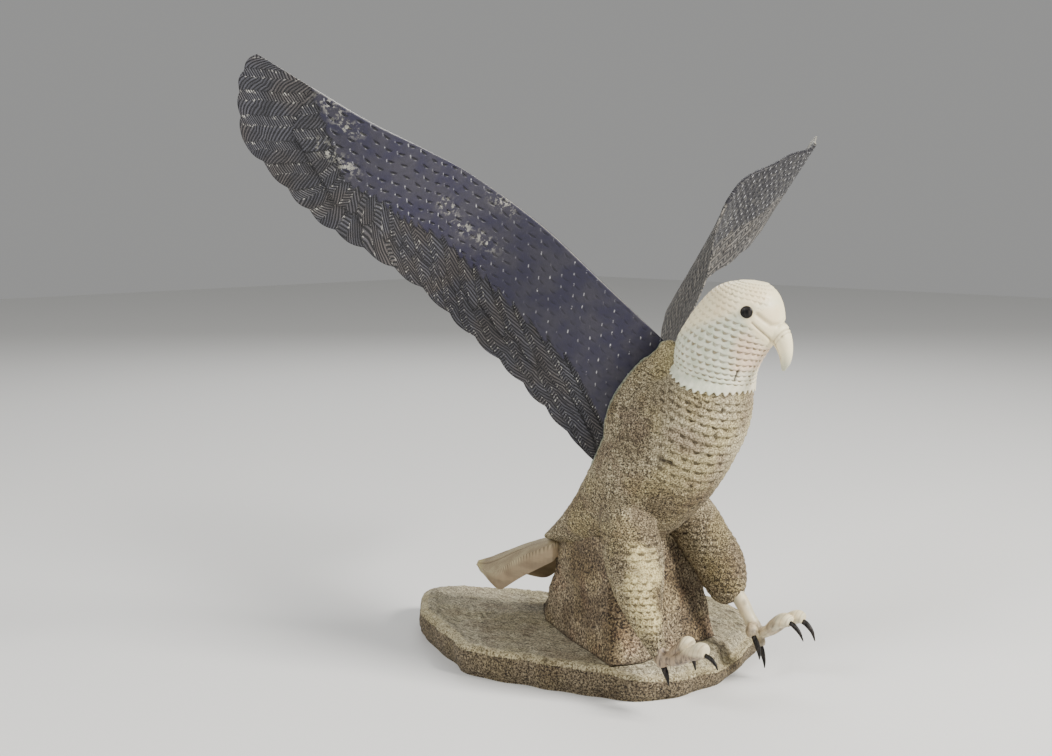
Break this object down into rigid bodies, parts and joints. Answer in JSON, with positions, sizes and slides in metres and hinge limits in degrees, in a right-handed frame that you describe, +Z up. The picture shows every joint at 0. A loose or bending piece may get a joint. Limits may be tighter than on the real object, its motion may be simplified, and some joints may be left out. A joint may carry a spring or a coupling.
{
  "type": "carved eagle sculpture",
  "caption": "Carved eagle with raised wings, perched on a tapered block and a thin irregular plinth, in whalebone, ivory and baleen.",
  "frame": {"origin": "on the underside of the plinth, below the bird's middle plane, under the perch block", "axes": "+Z up, the bird faces -Y, its left wing points to +X and its tail to +Y"},
  "size_m": [0.5684, 0.3337, 0.4104],
  "materials": {
    "whalebone": "matte",
    "plinth_whalebone": "matte",
    "block_whalebone": "matte",
    "ivory": "satin",
    "tail_ivory": "satin",
    "baleen": "satin"
  },
  "bodies": {
    "root": {"plinth": "plinth_whalebone", "perch_block": "block_whalebone", "body": "whalebone", "head": "ivory", "right_eye": "baleen", "left_eye": "baleen", "right_wing": "baleen", "left_wing": "baleen", "tail": "tail_ivory", "right_foot": "ivory", "left_foot": "ivory", "right_claw_1": "baleen", "right_claw_2": "baleen", "right_claw_3": "baleen", "right_claw_4": "baleen", "left_claw_1": "baleen", "left_claw_2": "baleen", "left_claw_3": "baleen", "left_claw_4": "baleen"}
  },
  "joints": []
}
